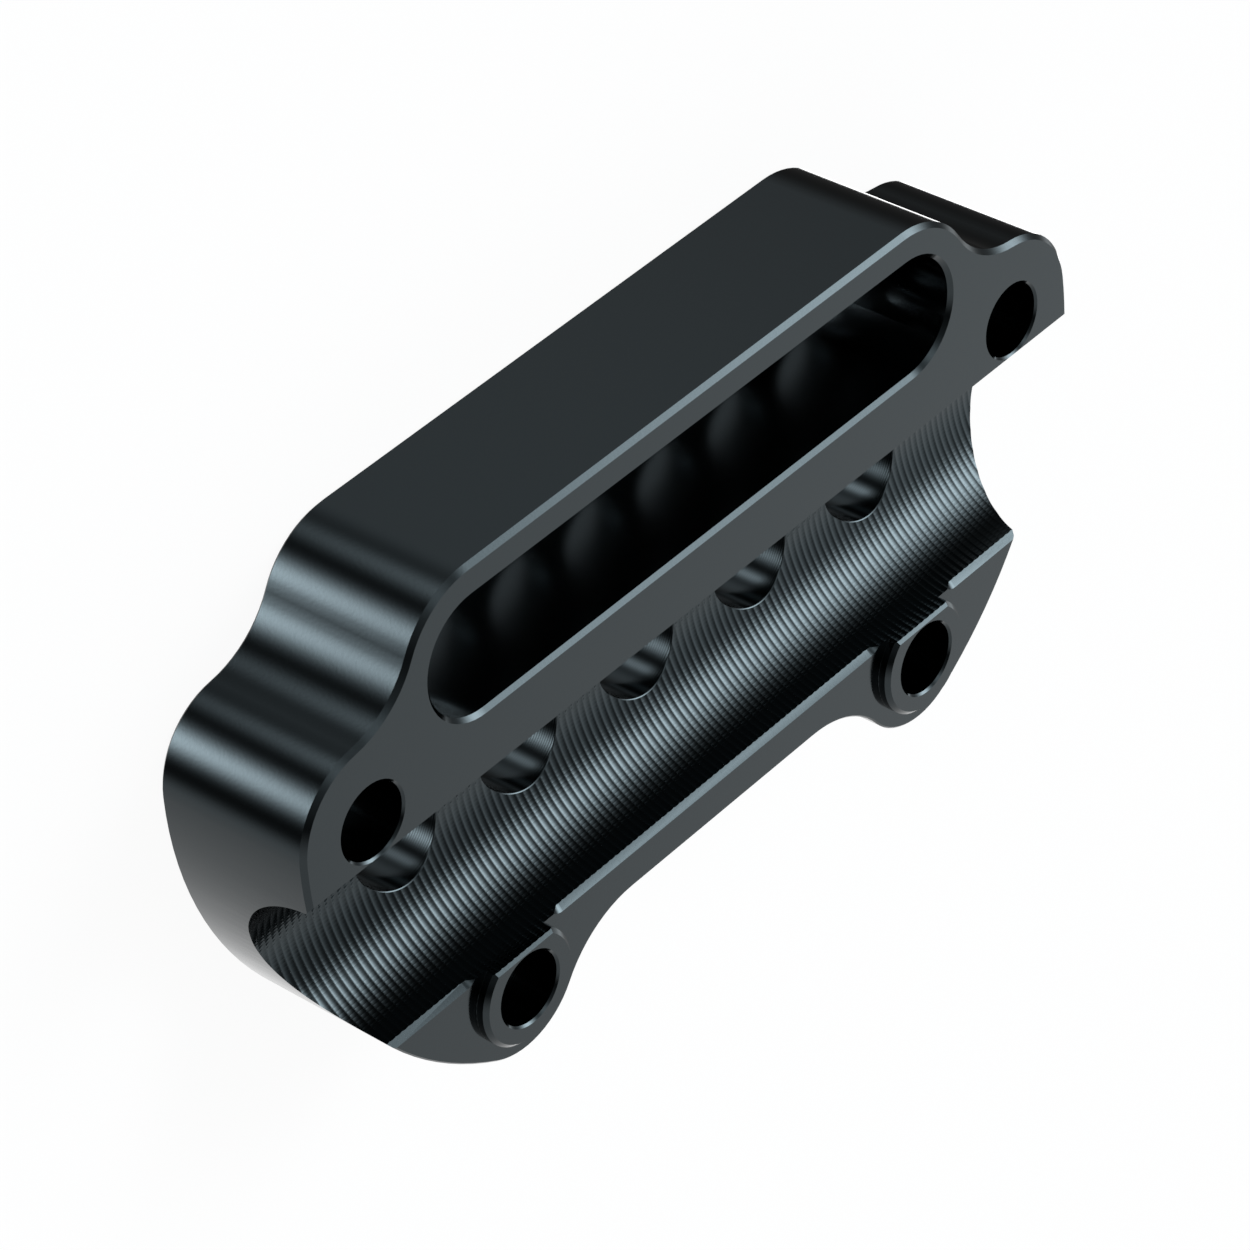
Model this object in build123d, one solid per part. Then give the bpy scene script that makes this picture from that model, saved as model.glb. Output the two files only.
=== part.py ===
from build123d import *
import math
import os

# One-piece handlebar top clamp, machined from solid aluminium and seen with its bar seat upward.
# X runs along the bar, +Y points at the slotted edge and +Z is the side that meets the bar.
# The origin is on the bar's axis at mid-length, and every size is in millimetres.

# Plate
plate_thickness = 20.0
seat_gap = 0.55
back_rim_chamfer = 0.5
front_rim_chamfer = 0.55
lower_rim_chamfer = 0.2

# Bar seat
bar_diameter = 25.4
upper_edge_chamfer = 0.75
lower_edge_chamfer = 0.57
pad_edge_chamfer = 0.35

# Bolts
bolt_hole_diameter = 8.8
bolt_rim_chamfer = 0.25
outer_bolt_x = 51.8
outer_bolt_y = 18.0
inner_bolt_x = 33.65
inner_bolt_y = -17.8
head_recess_diameter = 14.0
head_recess_depth = 8.5

# Raised pads round the inner bolts
pad_height = 1.5
pad_wall = 2.5
pad_chamfer = 0.5
pad_root_radius = 0.2
strip_stop = 7.6
chamfer_mill_radius = 2.0

# Slot along the upper edge, with a row of round windows through its floor
slot_y = 28.0
slot_end_x = 34.55
slot_width = 14.2
slot_rim_chamfer = 0.48
slot_floor = 3.2
window_diameter = 8.6
window_spacing = 11.75
window_count = 7

# Round holes through the web behind the bar
web_hole_diameter = 12.4
web_hole_y = 1.0
web_hole_spacing = 19.2
web_hole_count = 5

# Outline
slot_wall = 3.9
outer_lobe_wall = 5.5
inner_lobe_wall = 4.65
neck_radius = 11.3
end_radius = 47.7
waist_radius = 13.3
waist_y = -17.4

# Heights and edges that follow from the sizes above
bar_radius = bar_diameter / 2
bolt_radius = bolt_hole_diameter / 2
slot_radius = slot_width / 2
mating_z = -seat_gap
lower_face_z = mating_z - pad_height
back_z = mating_z - plate_thickness
clear = 5.0


def seat_edge(z):
    """Distance from the bar's axis to the wall of its seat, in a plane at height z."""
    return math.sqrt(bar_radius**2 - z**2)


def meeting_point(a, reach_a, b, reach_b):
    """Point at reach_a from a and reach_b from b, on the left hand going from a to b."""
    span = (b - a).length
    along = (reach_a**2 - reach_b**2 + span**2) / (2 * span)
    forward = (b - a).normalized()
    left = Vector(-forward.Y, forward.X)
    return a + forward * along + left * math.sqrt(reach_a**2 - along**2)


def towards(start, end, distance):
    """Point at a distance from start in the direction of end."""
    return start + (end - start).normalized() * distance


def arc_about(centre, start, end):
    """The shorter arc about a centre between two points."""
    middle = towards(centre, (start + end) * 0.5, (start - centre).length)
    return ThreePointArc(start, middle, end)


def right_end_arcs():
    """Six tangent arcs from the slot's corner round both bolt lobes to the waist."""
    corner = Vector(slot_end_x, slot_y)
    outer = Vector(outer_bolt_x, outer_bolt_y)
    inner = Vector(inner_bolt_x, inner_bolt_y)
    corner_radius = slot_radius + slot_wall
    outer_radius = bolt_radius + outer_lobe_wall
    inner_radius = bolt_radius + inner_lobe_wall
    neck = meeting_point(corner, corner_radius + neck_radius, outer, outer_radius + neck_radius)
    end = meeting_point(inner, end_radius - inner_radius, outer, end_radius - outer_radius)
    waist_drop = waist_y - waist_radius
    waist_reach = math.sqrt((inner_radius + waist_radius) ** 2 - (waist_drop - inner.Y) ** 2)
    waist = Vector(inner.X - waist_reach, waist_drop)
    top = Vector(corner.X, corner.Y + corner_radius)
    corner_to_neck = towards(corner, neck, corner_radius)
    neck_to_outer = towards(outer, neck, outer_radius)
    outer_to_end = towards(end, outer, end_radius)
    end_to_inner = towards(end, inner, end_radius)
    inner_to_waist = towards(inner, waist, inner_radius)
    bottom = Vector(waist.X, waist_y)
    return [
        arc_about(corner, top, corner_to_neck),
        arc_about(neck, corner_to_neck, neck_to_outer),
        arc_about(outer, neck_to_outer, outer_to_end),
        arc_about(end, outer_to_end, end_to_inner),
        arc_about(inner, end_to_inner, inner_to_waist),
        arc_about(waist, inner_to_waist, bottom),
    ]


def outline():
    """The whole plan outline, symmetric about the middle of the bar."""
    right = right_end_arcs()
    left = [mirror(arc, about=Plane.YZ) for arc in right]
    top = Line(right[0] @ 0, left[0] @ 0)
    bottom = Line(right[-1] @ 1, left[-1] @ 1)
    return make_face([*right, *left, top, bottom])


def plate(front_z, front_chamfer):
    """The outline as a plate from the back face to front_z, with both rims chamfered."""
    slab = extrude(Pos(0, 0, back_z) * outline(), front_z - back_z)
    slab = chamfer(slab.faces().sort_by(Axis.Z)[0].edges(), back_rim_chamfer)
    return chamfer(slab.faces().sort_by(Axis.Z)[-1].edges(), front_chamfer)


def row(count, spacing):
    """Places along the bar, evenly spaced about its middle."""
    return [(i - (count - 1) / 2) * spacing for i in range(count)]


def slotted_half():
    """The thicker half beside the slot, whose front is the mating face."""
    half = split(plate(mating_z, front_rim_chamfer), bisect_by=Plane.XZ, keep=Keep.BOTTOM)
    pocket = extrude(Pos(0, slot_y, mating_z) * SlotCenterToCenter(2 * slot_end_x, slot_width),
                     -(plate_thickness - slot_floor))
    half -= pocket
    mating_face = half.faces().sort_by(Axis.Z)[-1]
    half = chamfer(mating_face.inner_wires()[0].edges(), slot_rim_chamfer)
    for x in row(window_count, window_spacing):
        half -= Pos(x, slot_y, back_z) * Cylinder(window_diameter / 2, 2 * slot_floor + clear)
    return half


def pad(x):
    """Round pad about an inner bolt, chamfered at its top and filleted into the lower face."""
    radius = bolt_radius + pad_wall
    foot = radius + pad_root_radius
    fillet_top = lower_face_z + pad_root_radius
    fillet_centre = Vector(foot, fillet_top)
    fillet_arc = arc_about(fillet_centre, Vector(radius, fillet_top), Vector(foot, lower_face_z))
    edge = Polyline(
        (foot, lower_face_z), (foot, lower_face_z - pad_height), (0, lower_face_z - pad_height),
        (0, mating_z), (radius - pad_chamfer, mating_z), (radius, mating_z - pad_chamfer),
        (radius, fillet_top),
    )
    section = Plane.XZ * make_face([edge, fillet_arc])
    return Pos(x, inner_bolt_y, 0) * revolve(section, Axis.Z)


def lower_half():
    """The thinner half beyond the bar, with two pads as high as the mating face."""
    half = split(plate(lower_face_z, lower_rim_chamfer), bisect_by=Plane.XZ, keep=Keep.TOP)
    for x in (-inner_bolt_x, inner_bolt_x):
        half += pad(x)
    return half


def bolt_bore(x, y):
    """Cutter for a bolt: a clearance hole with a recess for the head in the back face."""
    recess_radius = head_recess_diameter / 2
    recess_z = back_z + head_recess_depth
    flare = bolt_radius + bolt_rim_chamfer
    edge = Polyline(
        (0, back_z - clear), (recess_radius, back_z - clear), (recess_radius, recess_z),
        (bolt_radius, recess_z), (bolt_radius, mating_z - bolt_rim_chamfer), (flare, mating_z),
        (flare, mating_z + clear), (0, mating_z + clear), (0, back_z - clear),
    )
    return Pos(x, y, 0) * revolve(Plane.XZ * make_face(edge), Axis.Z)


def edge_bevel(y, z, leg, inward):
    """Cutter for a 45 degree bevel along the whole seat, starting on the face at y."""
    edge = Polyline(
        (y, z), (y + inward * 2 * leg, z - 2 * leg), (y + inward * 2 * leg, z + leg),
        (y - inward * leg, z + leg), (y, z),
    )
    return extrude(Plane.YZ * make_face(edge), outer_bolt_x + end_radius, both=True)


def chamfer_mill_pass(x_from, x_to):
    """Path of a pointed chamfer mill along the seat's lower edge, round at both stops."""
    axis_y = chamfer_mill_radius - seat_edge(lower_face_z) - lower_edge_chamfer
    rise = pad_chamfer / 2
    shank = chamfer_mill_radius + rise
    right_side = [(shank, lower_face_z + rise), (shank, mating_z + clear)]
    tip = (0, lower_face_z - chamfer_mill_radius)
    mill = revolve(Plane.XZ * make_face(Polyline(tip, *right_side, (0, mating_z + clear), tip)), Axis.Z)
    left_side = [(-r, z) for r, z in reversed(right_side)]
    profile = make_face(Polyline(tip, *right_side, *left_side, tip))
    travel = Pos(x_from, axis_y, 0) * extrude(Plane.YZ * profile, x_to - x_from)
    return travel + Pos(x_from, axis_y, 0) * mill + Pos(x_to, axis_y, 0) * mill


def clamp_body():
    """The whole clamp: two half plates, then every cut that crosses from one to the other."""
    body = slotted_half() + lower_half()
    past_end = outer_bolt_x + end_radius
    body -= Rot(0, 90, 0) * Cylinder(bar_radius, 2 * past_end)
    body -= edge_bevel(seat_edge(mating_z) + upper_edge_chamfer, mating_z, upper_edge_chamfer, -1)
    body -= edge_bevel(-seat_edge(mating_z) - pad_edge_chamfer, mating_z, pad_edge_chamfer, 1)
    inner_stop = inner_bolt_x - strip_stop
    outer_stop = inner_bolt_x + strip_stop
    for x_from, x_to in ((-past_end, -outer_stop), (-inner_stop, inner_stop), (outer_stop, past_end)):
        body -= chamfer_mill_pass(x_from, x_to)
    for x in row(web_hole_count, web_hole_spacing):
        body -= Pos(x, web_hole_y, back_z) * Cylinder(web_hole_diameter / 2, 2 * plate_thickness)
    for side in (-1, 1):
        body -= bolt_bore(side * outer_bolt_x, outer_bolt_y)
        body -= bolt_bore(side * inner_bolt_x, inner_bolt_y)
    return body


os.makedirs("parts", exist_ok=True)
body = clamp_body()
body.label = "clamp_body"
export_step(body, "parts/clamp_body.step")
print("clamp_body", len(body.solids()), "solid", round(body.volume), "mm3", body.bounding_box())
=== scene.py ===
# %% [markdown]
# # A handlebar clamp milled from one block
# The real object is the top half of a handlebar clamp: a block of aluminium, cut to shape on a milling
# machine and then anodised black. The CAD model already has its walls, holes, pads and chamfers.
# This lesson adds what the cutters and the anodising bath left behind, a pale floor and studio light.

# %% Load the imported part
import math

import bmesh
import bpy
import numpy as np
from mathutils import Matrix, Vector


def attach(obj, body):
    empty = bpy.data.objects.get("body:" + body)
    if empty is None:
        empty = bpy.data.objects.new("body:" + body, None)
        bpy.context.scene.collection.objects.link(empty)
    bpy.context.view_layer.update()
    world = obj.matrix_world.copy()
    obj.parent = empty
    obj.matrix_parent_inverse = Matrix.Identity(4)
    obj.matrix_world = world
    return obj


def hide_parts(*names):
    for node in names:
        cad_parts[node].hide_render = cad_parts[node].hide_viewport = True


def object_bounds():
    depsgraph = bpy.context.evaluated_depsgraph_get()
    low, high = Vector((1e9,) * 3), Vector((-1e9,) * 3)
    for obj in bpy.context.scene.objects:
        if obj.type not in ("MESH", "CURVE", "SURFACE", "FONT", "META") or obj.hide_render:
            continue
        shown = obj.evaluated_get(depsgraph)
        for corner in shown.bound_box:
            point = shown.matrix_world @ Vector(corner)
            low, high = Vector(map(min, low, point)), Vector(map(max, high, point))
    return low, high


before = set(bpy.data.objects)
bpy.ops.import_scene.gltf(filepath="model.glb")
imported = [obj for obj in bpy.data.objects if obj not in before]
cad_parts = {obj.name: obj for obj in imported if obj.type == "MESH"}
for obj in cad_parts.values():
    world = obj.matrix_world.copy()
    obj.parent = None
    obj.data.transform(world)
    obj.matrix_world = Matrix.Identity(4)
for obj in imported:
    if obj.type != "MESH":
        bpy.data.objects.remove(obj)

MM = 0.001
cad_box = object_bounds()
clamp_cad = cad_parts["clamp_body"]
scene = bpy.context.scene
print("CAD box in mm", [[round(c / MM, 2) for c in corner] for corner in cad_box])

# %% [markdown]
# ## Passes of the ball mill in the bar seat
# A half-round seat like this is cut by a ball-ended mill that swings round the seat once, steps along
# the bar by a little under a millimetre and swings back. Each pass leaves a shallow trough and each
# pair of troughs meets in a ridge. The troughs are far too regular for noise, so they are worked out
# as a surface: a tube whose radius follows the troughs. Cutting that tube out of the solid leaves the
# ridges standing, just as the mill does, and gives the holes their slightly wavy rims. Even at a ridge
# the tube is a hundredth of a millimetre wider than the plain seat, so that none of its old wall stays.

# %% The mill's own sizes
seat_radius = 12.7
pass_pitch = 0.9605
first_ridge_x = 0.55
ball_radius = 3.2
seat_depth_margin = 0.01
ridge_height = (pass_pitch / 2) ** 2 / (2 * ball_radius)


def trough_radius(x):
    """Tube radius at x: seat radius plus the sagitta of the ball, which is greatest at mid-pass."""
    from_ridge = (x - first_ridge_x) / pass_pitch
    from_middle = (from_ridge - np.floor(from_ridge) - 0.5) * pass_pitch
    return seat_radius + seat_depth_margin + ridge_height - from_middle**2 / (2 * ball_radius)


print("ridges are", round(ridge_height, 3), "mm high and", pass_pitch, "mm apart")


# %% Helpers that turn computed points into meshes
def grid_faces(rows, columns, wrap_rows=False):
    """Quads between neighbours of a rows by columns grid whose columns close on themselves."""
    r = np.arange(rows if wrap_rows else rows - 1)[:, None]
    c = np.arange(columns)[None, :]
    next_r = (r + 1) % rows
    next_c = (c + 1) % columns
    corners = [r * columns + c, r * columns + next_c, next_r * columns + next_c, next_r * columns + c]
    return np.stack(np.broadcast_arrays(*corners), axis=-1).reshape(-1, 4)


def mesh_piece(name, points, faces, caps=()):
    """A mesh object from points in millimetres, its faces turned outwards."""
    mesh = bpy.data.meshes.new(name)
    mesh.from_pydata((points * MM).tolist(), [], faces.tolist() + [list(c) for c in caps])
    work = bmesh.new()
    work.from_mesh(mesh)
    bmesh.ops.recalc_face_normals(work, faces=work.faces)
    work.to_mesh(mesh)
    work.free()
    piece = bpy.data.objects.new(name, mesh)
    scene.collection.objects.link(piece)
    return piece


# %% The tube that the mill sweeps out
seat_half_length = 62.6
points_per_pass = 8
seat_side_end = 92
seat_side_points = 75
top_side_points = 9


def swept_tube():
    """Points (x, r(x) sin a, -r(x) cos a): fine steps of a round the seat, coarse ones over the top."""
    first = math.floor((-seat_half_length - first_ridge_x) / pass_pitch)
    last = math.ceil((seat_half_length - first_ridge_x) / pass_pitch)
    steps = np.arange(first * points_per_pass, last * points_per_pass + 1)
    x = first_ridge_x + steps * pass_pitch / points_per_pass
    seat_side = np.linspace(-seat_side_end, seat_side_end, seat_side_points)
    top_side = np.linspace(seat_side_end, 360 - seat_side_end, top_side_points)[1:-1]
    a = np.radians(np.concatenate([seat_side, top_side]))
    radius = trough_radius(x)[:, None]
    points = np.stack(np.broadcast_arrays(x[:, None], radius * np.sin(a), -radius * np.cos(a)), axis=-1)
    ring = np.arange(len(a))
    caps = (ring, ring + (len(x) - 1) * len(a))
    return mesh_piece("mill_sweep", points.reshape(-1, 3), grid_faces(len(x), len(a)), caps)


mill_sweep = swept_tube()
print("mill sweep", len(mill_sweep.data.polygons), "faces")

# %% [markdown]
# ## Broken edges of the web holes
# After drilling, the machinist runs a countersink round each rim, because a sharp rim cuts fingers and
# wires. The rim is not flat: it rises and falls with the seat. The cutter for it is a diamond-shaped
# section carried along that rising and falling curve, about half a ridge deeper than the seat.

# %% A diamond section along each rim
web_hole_radius = 6.2
web_hole_y = 1.0
web_hole_spacing = 19.2
web_hole_count = 5
web_hole_places = [(i - (web_hole_count - 1) / 2) * web_hole_spacing for i in range(web_hole_count)]
half_ridge = 0.02
rim_break = 0.09
degrees_per_rim_point = 4


def rim_cutter(x):
    """Hole circle lifted on to the seat: (x + R cos t, y + R sin t, -sqrt(S^2 - y^2)), R hole, S seat."""
    t = np.radians(np.arange(0, 360, degrees_per_rim_point))
    out = np.stack([np.cos(t), np.sin(t), 0 * t], axis=-1)
    rim = np.array([x, web_hole_y, 0.0]) + web_hole_radius * out
    depth = seat_radius + seat_depth_margin + half_ridge
    rim[:, 2] = -np.sqrt(depth**2 - rim[:, 1] ** 2)
    across = rim_break * out
    upward = rim_break * np.array([0.0, 0.0, 1.0])
    section = np.stack([rim + across, rim + upward, rim - across, rim - upward], axis=1)
    return mesh_piece("rim_cutter", section.reshape(-1, 3), grid_faces(len(t), 4, wrap_rows=True))


rim_cutters = [rim_cutter(x) for x in web_hole_places]
print(len(rim_cutters), "rim cutters at x =", [round(x, 1) for x in web_hole_places], "mm")

# %% [markdown]
# ## Crisp corners round the pads
# A flat end mill clears the lower face and circles each pad with its square corner, so the pad stands in
# a crisp inner corner. The CAD body has a small fillet there, which would catch a bright line of light. A
# ring with an upright oblong section, its foot a hair below the face, takes the fillet away.

# %% An oblong section carried round each pad
pad_radius = 6.9
pad_x = 33.65
pad_y = -17.8
lower_face_z = -2.05
root_width = 0.25
root_height = 0.5
root_margin = 0.01
degrees_per_root_point = 2


def root_cutter(x):
    """Ring round a pad: (x + r cos t, y + r sin t, z), with r and z at the corners of the oblong."""
    t = np.radians(np.arange(0, 360, degrees_per_root_point))[:, None]
    near = pad_radius + root_margin
    r = np.array([near, near + root_width, near + root_width, near])
    z = lower_face_z + np.array([-root_margin, -root_margin, root_height, root_height])
    section = np.stack(np.broadcast_arrays(x + r * np.cos(t), pad_y + r * np.sin(t), z), axis=-1)
    return mesh_piece("root_cutter", section.reshape(-1, 3), grid_faces(len(t), 4, wrap_rows=True))


root_cutters = [root_cutter(x) for x in (-pad_x, pad_x)]
print(len(root_cutters), "root cutters of", len(root_cutters[0].data.polygons), "faces each")

# %% [markdown]
# ## The dressed body
# The CAD body arrives as loose triangles. A copy of it is merged into one closed skin, the tube and the
# rim and root cutters are taken out of it, and the result stands for the CAD body in the picture.

# %% Merge a copy of the CAD body
same_point = 0.0005


def merged_copy(source, name):
    """A copy of a CAD node whose touching corners are joined."""
    mesh = source.data.copy()
    mesh.name = name
    mesh.attributes.remove(mesh.attributes["custom_normal"])
    work = bmesh.new()
    work.from_mesh(mesh)
    bmesh.ops.remove_doubles(work, verts=work.verts, dist=same_point * MM)
    open_edges = sum(1 for e in work.edges if not e.is_manifold)
    work.to_mesh(mesh)
    work.free()
    print("merged copy", len(mesh.vertices), "points", open_edges, "open edges")
    piece = bpy.data.objects.new(name, mesh)
    scene.collection.objects.link(piece)
    return piece


clamp = merged_copy(clamp_cad, "clamp_milled")

# %% Cut it and let it stand for the CAD body
sharp_angle = 16


def cut(piece, cutters):
    """Takes each cutter out of the piece and removes the cutters."""
    for cutter in cutters:
        step = piece.modifiers.new("cut", "BOOLEAN")
        step.operation = "DIFFERENCE"
        step.solver = "MANIFOLD"
        step.object = cutter
    graph = bpy.context.evaluated_depsgraph_get()
    result = bpy.data.meshes.new_from_object(piece.evaluated_get(graph))
    piece.modifiers.clear()
    piece.data = result
    for cutter in cutters:
        bpy.data.objects.remove(cutter)


cut(clamp, [mill_sweep, *rim_cutters, *root_cutters])
clamp.data.shade_smooth()
clamp.data.set_sharp_from_angle(angle=math.radians(sharp_angle))
print("dressed body", len(clamp.data.vertices), "points", len(clamp.data.polygons), "faces")
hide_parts("clamp_body")
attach(clamp, "root")

# %% [markdown]
# ## Round walls in the web holes
# Each hole's wall is a ring of flat strips, and the wavy rim adds corners in the middle of a strip that
# would be shaded flat. A polished bore mirrors the room without a kink, so every corner on these walls is
# told the direction that a true cylinder has there: level, and straight towards the hole's axis.

# %% True directions for the corners of the walls
wall_tolerance = 0.03
tilt_tolerance = 0.05


def corner_table(mesh):
    """For each face corner: its place in mm, its shading direction and the z of its face's normal."""
    corner_count = len(mesh.loops)
    points = np.empty(len(mesh.vertices) * 3)
    mesh.vertices.foreach_get("co", points)
    owners = np.empty(corner_count, dtype=np.int32)
    mesh.loops.foreach_get("vertex_index", owners)
    shading = np.empty(corner_count * 3)
    mesh.corner_normals.foreach_get("vector", shading)
    flat = np.empty(len(mesh.polygons) * 3)
    mesh.polygons.foreach_get("normal", flat)
    sides = np.empty(len(mesh.polygons), dtype=np.int32)
    mesh.polygons.foreach_get("loop_total", sides)
    return points.reshape(-1, 3)[owners] / MM, shading.reshape(-1, 3), np.repeat(flat[2::3], sides)


places, shading, face_rise = corner_table(clamp.data)
for hole_x in web_hole_places:
    to_axis = np.array([hole_x, web_hole_y]) - places[:, :2]
    reach = np.hypot(to_axis[:, 0], to_axis[:, 1])
    on_wall = (np.abs(reach - web_hole_radius) < wall_tolerance) & (np.abs(face_rise) < tilt_tolerance)
    shading[on_wall, :2] = to_axis[on_wall] / reach[on_wall, None]
    shading[on_wall, 2] = 0.0
    print("web hole at x =", round(hole_x, 1), "mm has", int(on_wall.sum()), "corners on its wall")
clamp.data.normals_split_custom_set(shading.tolist())

# %% [markdown]
# ## Black anodised aluminium
# Anodising grows a thin glassy oxide on the metal and dyes it black. It has no body colour to speak of:
# what the eye sees is a weak mirror image of the studio, a few percent bright and a little blue, blurred
# by the satin grain that the mill and the etching bath leave. That grain is a few hundredths of a
# millimetre wide, too fine to show, so it is drawn a quarter of a millimetre wide.

# %% Colour and node helpers
def colour(hex_code):
    """An sRGB hex code as linear red, green, blue and a full alpha."""
    channels = [int(hex_code[i : i + 2], 16) / 255 for i in (1, 3, 5)]
    linear = [c / 12.92 if c <= 0.04045 else ((c + 0.055) / 1.055) ** 2.4 for c in channels]
    return (*linear, 1.0)


def add_node(tree, kind, settings=None, inputs=None):
    """Adds a node, sets its properties and fills or links its inputs, by name or by number."""
    node = tree.nodes.new(kind)
    for key, value in (settings or {}).items():
        setattr(node, key, value)
    for key, value in (inputs or {}).items():
        if isinstance(value, bpy.types.NodeSocket):
            tree.links.new(value, node.inputs[key])
        else:
            node.inputs[key].default_value = value
    return node


def material(name):
    """An empty material with a Principled shader linked to its output."""
    made = bpy.data.materials.new(name)
    made.use_nodes = True
    made.node_tree.nodes.clear()
    shader = add_node(made.node_tree, "ShaderNodeBsdfPrincipled")
    add_node(made.node_tree, "ShaderNodeOutputMaterial", inputs={"Surface": shader.outputs[0]})
    return made, made.node_tree, shader


# %% The anodised finish
dyed_oxide = colour("#313638")
satin_width = 0.25


def anodised(name, smoothest, roughest):
    """Black anodised aluminium with a satin grain, and the Object coordinates that its patterns read."""
    made, tree, shader = material(name)
    shader.inputs["Base Color"].default_value = dyed_oxide
    shader.inputs["Metallic"].default_value = 1.0
    place = add_node(tree, "ShaderNodeTexCoord").outputs["Object"]
    grain = add_node(tree, "ShaderNodeTexNoise",
                     inputs={"Vector": place, "Scale": 1 / (satin_width * MM), "Detail": 3.0})
    rough = add_node(tree, "ShaderNodeMapRange",
                     inputs={"Value": grain.outputs[0], "To Min": smoothest, "To Max": roughest})
    tree.links.new(rough.outputs[0], shader.inputs["Roughness"])
    return made, tree, shader, place


print("percent of red, green and blue mirrored", [round(100 * c, 1) for c in dyed_oxide[:3]])

# %% [markdown]
# ## Etched grain on the flat faces
# The bath before anodising etches the metal to a very faint orange peel. Its real grains are smaller
# than a picture element, so they are drawn as bumps about a third of a millimetre wide.

# %% The finish on the milled faces
grain_width = 0.35
grain_height = 0.0025
milled_satin = (0.08, 0.14)
milled_finish, tree, shader, place = anodised("black_anodised_aluminium_milled", *milled_satin)
peel = add_node(tree, "ShaderNodeTexNoise",
                inputs={"Vector": place, "Scale": 1 / (grain_width * MM), "Detail": 2.0})
dents = add_node(tree, "ShaderNodeBump", inputs={"Height": peel.outputs[0], "Distance": grain_height * MM})
tree.links.new(dents.outputs[0], shader.inputs["Normal"])
print(milled_finish.name, "has grains", grain_width, "mm wide and", grain_height, "mm high")

# %% [markdown]
# ## Feed marks in the bar seat
# The ball does not slide round the seat: its teeth bite at even steps, and each bite is a tiny dip with
# the curve of the ball. Neighbouring passes run opposite ways and their bites are staggered like bricks,
# which shows as a fine chequer where the light falls off. The dips are under a hundredth of a millimetre
# deep, far too small for geometry, so the seat's own material draws them as bump from the mill's sizes.
# The ball also springs and rubs as it turns, which wears the crests between bites down to about half.

# %% The finish in the seat
feed_step = 0.465
brick_stagger = 0.52
crest_left = 0.55


def feed_marks(tree, place):
    """Height k s squared / (2 R): k the crest left, R the ball's radius, s the arc to the nearest bite."""
    split = add_node(tree, "ShaderNodeSeparateXYZ", inputs={0: place}).outputs
    passes = add_node(tree, "ShaderNodeMath", {"operation": "MULTIPLY_ADD"},
                      {0: split["X"], 1: 1 / (pass_pitch * MM), 2: -first_ridge_x / pass_pitch})
    number = add_node(tree, "ShaderNodeMath", {"operation": "FLOOR"}, {0: passes.outputs[0]})
    stagger = add_node(tree, "ShaderNodeMath", {"operation": "MULTIPLY"},
                       {0: number.outputs[0], 1: brick_stagger})
    angle = add_node(tree, "ShaderNodeMath", {"operation": "ARCTAN2"}, {0: split["Z"], 1: split["Y"]})
    bites = add_node(tree, "ShaderNodeMath", {"operation": "MULTIPLY_ADD"},
                     {0: angle.outputs[0], 1: seat_radius / feed_step, 2: stagger.outputs[0]})
    away = add_node(tree, "ShaderNodeMath", {"operation": "PINGPONG"}, {0: bites.outputs[0], 1: 0.5})
    squared = add_node(tree, "ShaderNodeMath", {"operation": "MULTIPLY"},
                       {0: away.outputs[0], 1: away.outputs[0]})
    distance = crest_left * feed_step**2 / (2 * ball_radius) * MM
    dips = add_node(tree, "ShaderNodeBump", inputs={"Height": squared.outputs[0], "Distance": distance})
    return dips.outputs[0]


seat_finish, tree, shader, place = anodised("black_anodised_aluminium_ball_milled", *milled_satin)
tree.links.new(feed_marks(tree, place), shader.inputs["Normal"])
print(seat_finish.name, "has", round(math.pi * seat_radius / feed_step), "bites across the seat")

# %% [markdown]
# ## Drill rings in the holes and the slot
# Drills and long slim end mills flutter, so the walls of holes and of the deep slot come out duller than
# the outside and carry faint rings, one for each small step of the tool along its own axis. The slot's
# walls are the dullest.

# %% The finish in the holes and the slot
ring_step = 0.3
ring_height = 0.002
# A wave texture of scale 1 repeats after this many units
wave_period = 0.314
drilled_satin = (0.10, 0.16)
slot_satin = (0.16, 0.26)


def ringed(name, smoothest, roughest):
    """The anodised finish with the rings of a tool that steps down its own axis."""
    made, tree, shader, place = anodised(name, smoothest, roughest)
    rings = add_node(tree, "ShaderNodeTexWave", {"bands_direction": "Z"},
                     {"Vector": place, "Scale": wave_period / (ring_step * MM),
                      "Distortion": 1.0, "Detail": 1.0})
    grooves = add_node(tree, "ShaderNodeBump",
                       inputs={"Height": rings.outputs["Fac"], "Distance": ring_height * MM})
    tree.links.new(grooves.outputs[0], shader.inputs["Normal"])
    return made


drilled_finish = ringed("black_anodised_aluminium_drilled", *drilled_satin)
slot_finish = ringed("black_anodised_aluminium_slot_milled", *slot_satin)
print(drilled_finish.name, "and", slot_finish.name, "have a ring each", ring_step, "mm")

# %% [markdown]
# ## Each face gets the finish of the cutter that made it
# A face within the ridges' height of the seat is the ball mill's. An upright face that looks across a gap
# at another wall of the clamp is in a hole or in the slot, and its place tells which of the two.

# %% Sort the faces by their cutter
slot_near_y = 20.0
slot_reach_x = 45.0
ray_length = 17.0
step_off = 0.01
upright_tilt = 0.1
faces = clamp.data.polygons
centres = np.empty(len(faces) * 3)
faces.foreach_get("center", centres)
from_axis = np.hypot(centres[1::3], centres[2::3]) / MM
in_seat = from_axis < seat_radius + 2 * seat_depth_margin + ridge_height


def faces_a_wall(face):
    """True for an upright wall that has another wall of the clamp close in front of it."""
    start = face.center + face.normal * step_off * MM
    upright = abs(face.normal.z) < upright_tilt
    return upright and clamp.ray_cast(start, face.normal, distance=ray_length * MM)[0]


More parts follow.
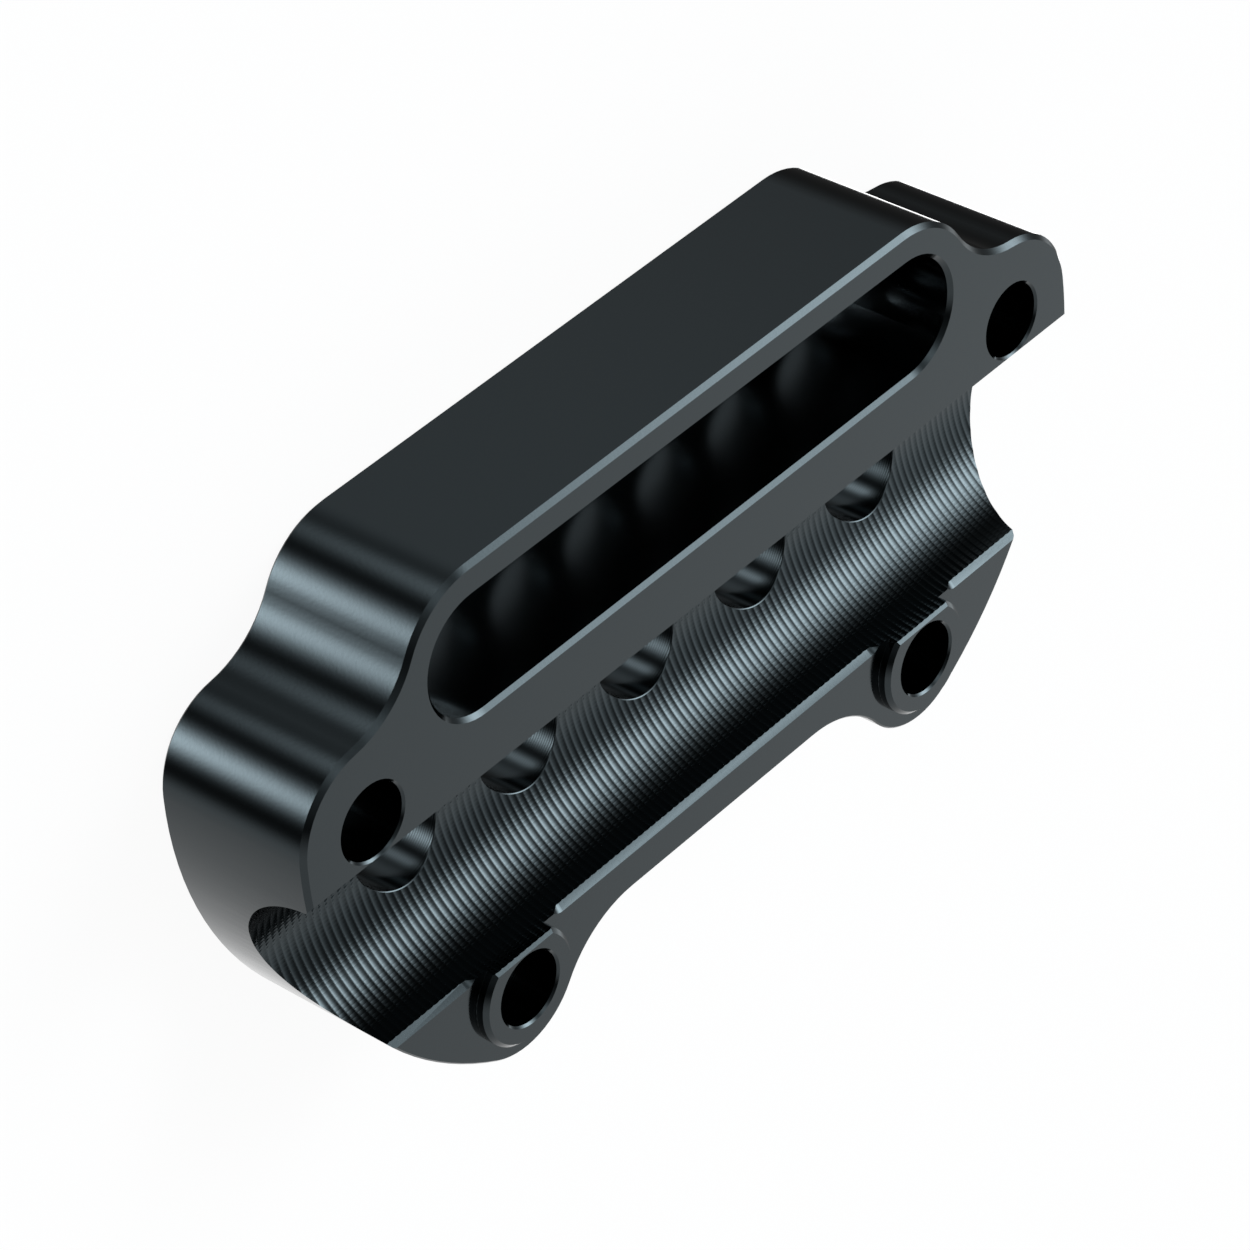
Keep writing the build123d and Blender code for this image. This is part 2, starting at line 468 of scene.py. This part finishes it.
in_hole = np.array([faces_a_wall(face) for face in faces]) & ~in_seat
in_slot = in_hole & (centres[1::3] > slot_near_y * MM) & (np.abs(centres[0::3]) < slot_reach_x * MM)
print("faces in the seat", int(in_seat.sum()), "in holes and the slot", int(in_hole.sum()))

# %% Number the finishes: 0 milled, 1 seat, 2 hole, 3 slot
clamp.data.materials.clear()
for finish in (milled_finish, seat_finish, drilled_finish, slot_finish):
    clamp.data.materials.append(finish)
faces.foreach_set("material_index", in_seat + 2 * in_hole + in_slot)
clamp_cad.data.materials.clear()
clamp_cad.data.materials.append(milled_finish)
print("finishes on the clamp", [finish.name for finish in clamp.data.materials])

# %% [markdown]
# ## Floor
# The photograph's ground is plain white with no shadow, as on a light table, so the floor glows softly
# and only a trace of a contact shadow is left where the clamp lies on it.

# %% A pale light-table floor
floor_size = 6.0
floor_gap = 0.02
floor_glow = 0.937
half = floor_size / 2
floor_z = cad_box[0].z - floor_gap * MM
floor_mesh = bpy.data.meshes.new("floor")
corners = [(-half, -half, floor_z), (half, -half, floor_z), (half, half, floor_z), (-half, half, floor_z)]
floor_mesh.from_pydata(corners, [], [(0, 1, 2, 3)])
floor = bpy.data.objects.new("floor", floor_mesh)
scene.collection.objects.link(floor)
floor_finish, _, shader = material("pale_light_table")
shader.inputs["Base Color"].default_value = colour("#404040")
shader.inputs["Roughness"].default_value = 0.9
shader.inputs["Specular IOR Level"].default_value = 0.0
shader.inputs["Emission Color"].default_value = colour("#FFFFFF")
shader.inputs["Emission Strength"].default_value = floor_glow
floor_mesh.materials.append(floor_finish)
floor.visible_glossy = False
floor.visible_shadow = False
print("floor", floor_size, "m wide at z =", round(floor_z / MM, 2), "mm")

# %% [markdown]
# ## Camera
# The place, turn and focal length were worked out from the photograph's straight edges and circles.
# The picture was taken with a long lens, and the part lies turned in it, so the camera is rolled.

# %% The camera at the photograph's viewing angle
camera_place = Vector((-306.876, 339.933, 290.018)) * MM
camera_right = Vector((0.65137, -0.08698, 0.75375))
camera_up = Vector((0.51186, 0.78368, -0.35190))
focal_pixels = 5083.75
picture_pixels = 1250
sensor_width = 36.0
nearest_seen = 0.01
camera_back = camera_right.cross(camera_up)
camera_data = bpy.data.cameras.new("camera")
camera_data.sensor_width = sensor_width
camera_data.lens = focal_pixels / picture_pixels * sensor_width
camera_data.clip_start = nearest_seen
camera = bpy.data.objects.new("camera", camera_data)
axes = Matrix((camera_right, camera_up, camera_back)).transposed()
camera.matrix_world = Matrix.LocRotScale(camera_place, axes.to_quaternion(), None)
scene.collection.objects.link(camera)
scene.camera = camera
print("lens", round(camera_data.lens, 1), "mm, camera", round(camera_place.length / MM), "mm away")

# %% [markdown]
# ## Studio light
# A black part shows little else than a dim mirror image of the studio, so the size and place of each
# light decide where a highlight runs. Large soft boxes stand left and right of the camera, a small one
# above, and a white sweep lies behind and below the part. They are painted on the world's dome as soft
# round glows, because diffusers fade towards their edges, and because a dome is equally far from every
# part of the object. Dim ones behind the camera and overhead are for anyone who looks from another side.

# %% The white sweep
sweep_middle = (0.05, -0.90, -0.43)
sweep_ends = 0.17
sweep_full = 0.65
sweep_dimmest = 0.05
sweep_brightest = 1.04
world = bpy.data.worlds.new("studio")
scene.world = world
world.use_nodes = True
tree = world.node_tree
tree.nodes.clear()
direction = add_node(tree, "ShaderNodeTexCoord").outputs["Generated"]


def towards(right, up, back):
    """How nearly a dome direction points along one given in the camera's own axes: 1 is dead on."""
    target = axes @ Vector((right, up, back)).normalized()
    dot = add_node(tree, "ShaderNodeVectorMath", {"operation": "DOT_PRODUCT"}, {0: direction, 1: target})
    return dot.outputs["Value"]


sweep = add_node(tree, "ShaderNodeMapRange", {"interpolation_type": "SMOOTHSTEP"},
                 {"Value": towards(*sweep_middle), "From Min": sweep_ends, "From Max": sweep_full,
                  "To Min": sweep_dimmest, "To Max": sweep_brightest})
print("white sweep is full within", round(math.degrees(math.acos(sweep_full))), "degrees of its middle")

# %% [markdown]
# ## Overexposed paper behind the part
# The paper just above and behind the part is lit far brighter than the picture can show, which is how
# its ground comes out pure white. A rounded wall turns into a full mirror where it curves out of sight, so
# there it shows this paper as a thin white line, best seen where the far lobe stands behind the corner.

# %% The bright paper
paper_middle = (0.08, 0.15, -1.0)
paper_ends = 0.977
paper_full = 0.992
paper_brightest = 2.8
bright_paper = add_node(tree, "ShaderNodeMapRange", {"interpolation_type": "SMOOTHSTEP"},
                        {"Value": towards(*paper_middle), "From Min": paper_ends, "From Max": paper_full,
                         "To Min": 0.0, "To Max": paper_brightest})
white_light = add_node(tree, "ShaderNodeMath", {"operation": "ADD"},
                       {0: sweep.outputs[0], 1: bright_paper.outputs[0]}).outputs[0]
print("bright paper ends", round(math.degrees(math.acos(paper_ends))), "degrees from its middle")

# %% [markdown]
# ## Soft boxes as glows on the dome
# Each box has three things: its direction from the part as right, up and back, its radiance, and the
# angle in degrees at which its glow is down to a half. The glow at an angle a from the box's middle is
# its radiance times exp(k (cos a - 1)), where k is set by that half angle.

# %% Add up the soft boxes
soft_boxes = {
    "left": ((-0.96, 0.27, 0.12), 31.0, 8.5),
    "low left": ((-0.91, -0.40, -0.15), 0.5, 8.5),
    "right, near end": ((0.83, 0.52, 0.23), 8.6, 11.2),
    "right, far end": ((0.91, 0.41, 0.04), 9.6, 10.4),
    "right, spill": ((0.97, 0.02, -0.23), 1.7, 18.0),
    "behind right": ((0.65, 0.18, -0.74), 1.4, 9.0),
    "beside camera": ((0.63, 0.14, 0.76), 2.2, 11.0),
    "high left": ((-0.40, 0.83, 0.38), 10.0, 8.1),
    "top": ((-0.11, 0.98, -0.14), 0.76, 15.0),
    "behind camera": ((-0.05, 0.0, 1.0), 0.9, 17.0),
    "overhead": ((0.754, -0.352, 0.555), 0.8, 9.0),
}
light = 0.0
for where, radiance, half_angle in soft_boxes.values():
    k = math.log(2) / (1 - math.cos(math.radians(half_angle)))
    power = add_node(tree, "ShaderNodeMath", {"operation": "MULTIPLY_ADD"},
                     {0: towards(*where), 1: k, 2: -k})
    glow = add_node(tree, "ShaderNodeMath", {"operation": "EXPONENT"}, {0: power.outputs[0]})
    light = add_node(tree, "ShaderNodeMath", {"operation": "MULTIPLY_ADD"},
                     {0: glow.outputs[0], 1: radiance, 2: light}).outputs[0]
print("soft boxes", list(soft_boxes))

# %% The dome lights the part, and the camera sees it as plain pale paper
from_paper = add_node(tree, "ShaderNodeBackground",
                      inputs={"Color": colour("#FFFFFF"), "Strength": white_light})
from_boxes = add_node(tree, "ShaderNodeBackground",
                      inputs={"Color": colour("#F3FBFF"), "Strength": light})
room = add_node(tree, "ShaderNodeAddShader", inputs={0: from_paper.outputs[0], 1: from_boxes.outputs[0]})
paper = add_node(tree, "ShaderNodeBackground", inputs={"Color": colour("#FDFDFD"), "Strength": 1.0})
seen = add_node(tree, "ShaderNodeLightPath").outputs["Is Camera Ray"]
mix = add_node(tree, "ShaderNodeMixShader", inputs={0: seen, 1: room.outputs[0], 2: paper.outputs[0]})
add_node(tree, "ShaderNodeOutputWorld", inputs={"Surface": mix.outputs[0]})
scene.view_settings.view_transform = "Standard"
print("the dome has", len(tree.nodes), "nodes")
